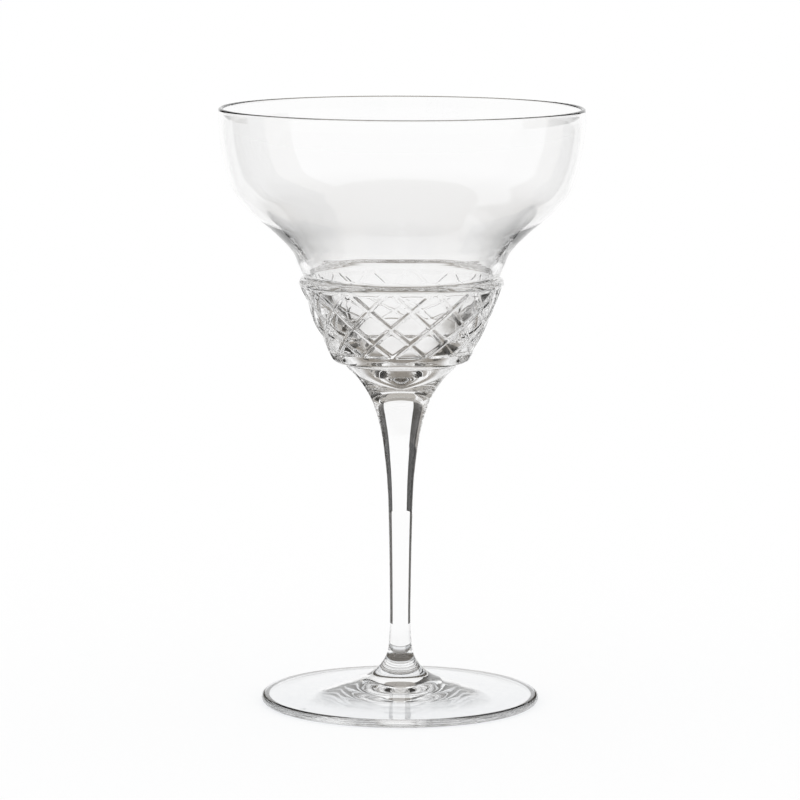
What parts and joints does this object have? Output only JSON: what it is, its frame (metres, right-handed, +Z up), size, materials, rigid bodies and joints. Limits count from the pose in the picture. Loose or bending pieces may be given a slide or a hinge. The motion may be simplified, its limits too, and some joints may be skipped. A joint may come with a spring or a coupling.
{
  "type": "margarita glass",
  "caption": "Stemmed cocktail glass with a wide bell over a narrow cup moulded with a diamond lattice, a slim solid stem and a round foot.",
  "frame": {"origin": "centre of the flat ring that the foot stands on", "axes": "+Z up along the stem's axis, -Y towards the viewer of the picture, +X to the viewer's right"},
  "size_m": [0.1098, 0.1098, 0.18],
  "materials": {
    "bowl_glass": "blown and moulded clear glass, fire-polished",
    "stem_glass": "drawn clear glass, fire-polished",
    "foot_glass": "spun clear glass, fire-polished"
  },
  "bodies": {
    "root": {"bowl": "bowl_glass", "stem": "stem_glass", "foot": "foot_glass"}
  },
  "joints": []
}
